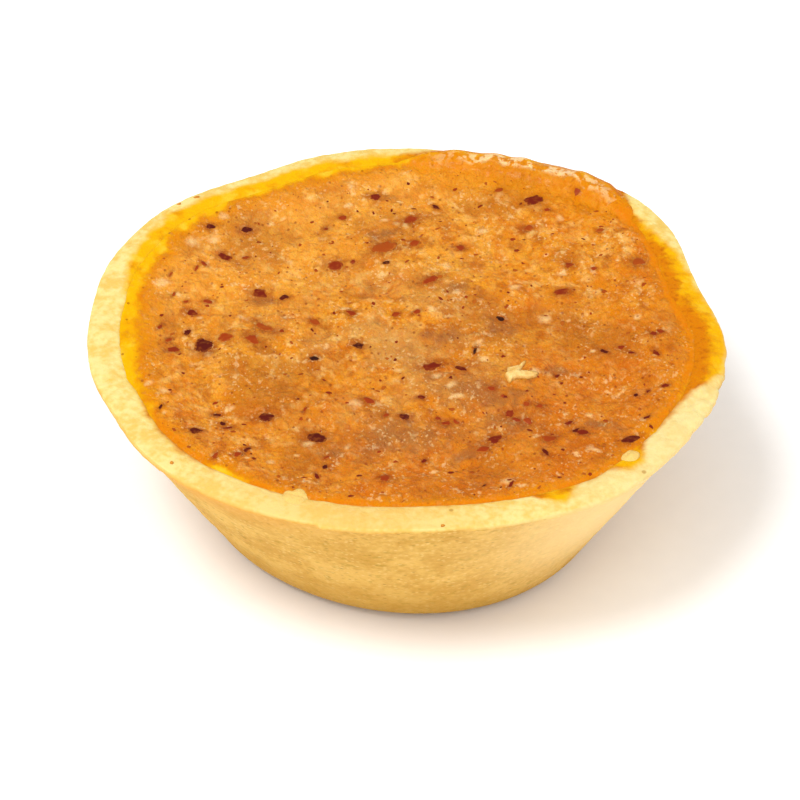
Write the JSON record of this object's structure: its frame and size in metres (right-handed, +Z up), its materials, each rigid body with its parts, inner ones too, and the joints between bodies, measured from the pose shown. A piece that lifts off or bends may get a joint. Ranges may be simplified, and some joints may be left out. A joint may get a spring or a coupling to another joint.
{
  "type": "almond tartlet",
  "caption": "Small round shortcrust tartlet with sloping sides and a pale cut rim, holding a glossy baked almond filling flecked with almond skin.",
  "frame": {"origin": "middle of the tartlet's box, on the flat base it stands on", "axes": "+Z up out of the filling, -Y towards the front as pictured, +X to the right"},
  "size_m": [0.0746, 0.0742, 0.0261],
  "materials": {
    "pastry": "baked shortcrust, matt",
    "filling": "baked almond filling, moist sheen"
  },
  "bodies": {
    "root": {"pastry_crust": "pastry", "almond_filling": "filling"}
  },
  "joints": []
}
